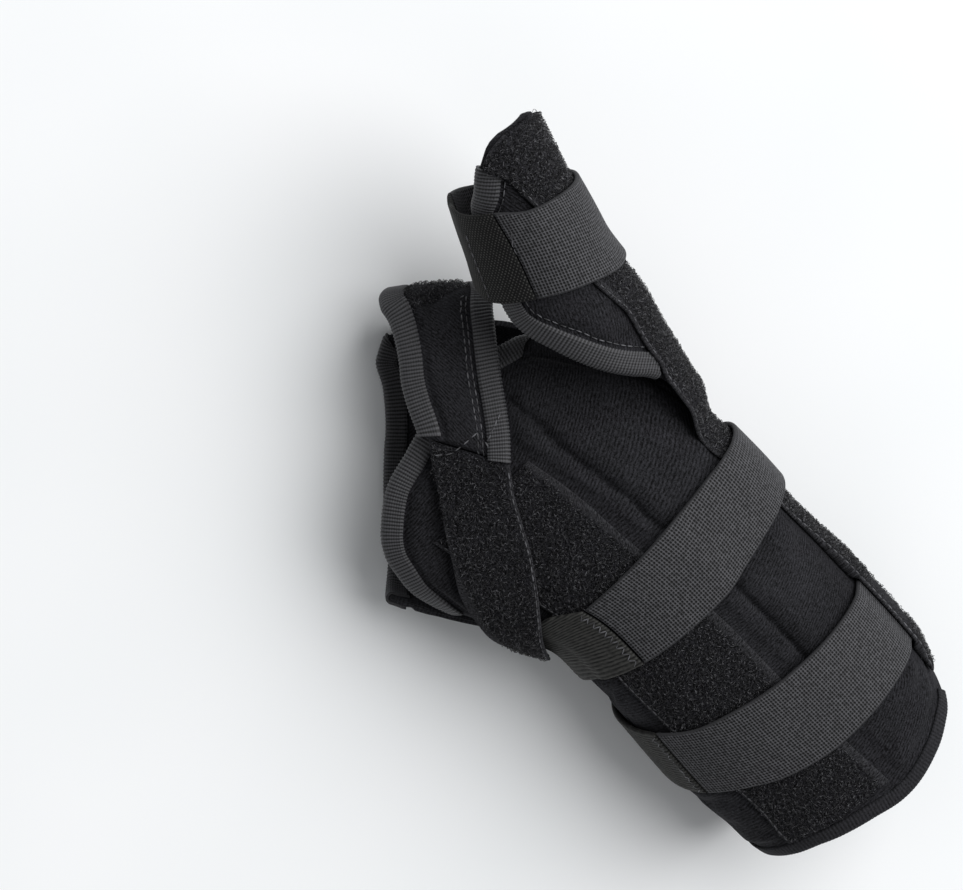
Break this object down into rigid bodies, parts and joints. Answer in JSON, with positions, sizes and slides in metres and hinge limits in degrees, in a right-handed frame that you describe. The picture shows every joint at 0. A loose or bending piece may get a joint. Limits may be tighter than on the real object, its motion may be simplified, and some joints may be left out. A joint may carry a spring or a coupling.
{
  "type": "wrist hand orthosis",
  "caption": "Black padded fabric wrist brace for the right hand with a thumb cover, loop panels and hook-and-loop straps, shaped as worn and lying palm side up.",
  "frame": {"origin": "on the flat patch of the back panel near its forearm end, where the orthosis rests", "axes": "+X to the elbow, +Y to the thumb, +Z out of the palm, up as it lies on its back"},
  "size_m": [0.2257, 0.1235, 0.0774],
  "materials": {
    "knit": "matt brushed knit over foam",
    "tape": "ribbed binding tape",
    "pile": "fuzzy loop pile",
    "webbing": "woven webbing",
    "hook_tape": "hook tape with a woven back"
  },
  "bodies": {
    "root": {"volar_panel": "knit", "dorsal_panel": "knit", "thumb_cover": "knit", "web_strap": "knit", "volar_edge_binding": "tape", "dorsal_edge_binding": "tape", "forearm_edge_binding_volar": "tape", "forearm_edge_binding_dorsal": "tape", "thumb_edge_binding": "tape", "web_strap_binding_distal": "tape", "web_strap_binding_proximal": "tape", "palm_loop_panel": "pile", "radial_loop_strip": "pile", "thumb_loop_strip": "pile", "web_strap_root": "pile", "web_strap_tail": "pile", "thumb_strap": "webbing", "wrist_strap": "webbing", "forearm_strap": "webbing", "thumb_strap_hook_tab": "hook_tape", "wrist_strap_hook_tab": "hook_tape", "forearm_strap_hook_tab": "hook_tape"}
  },
  "joints": []
}
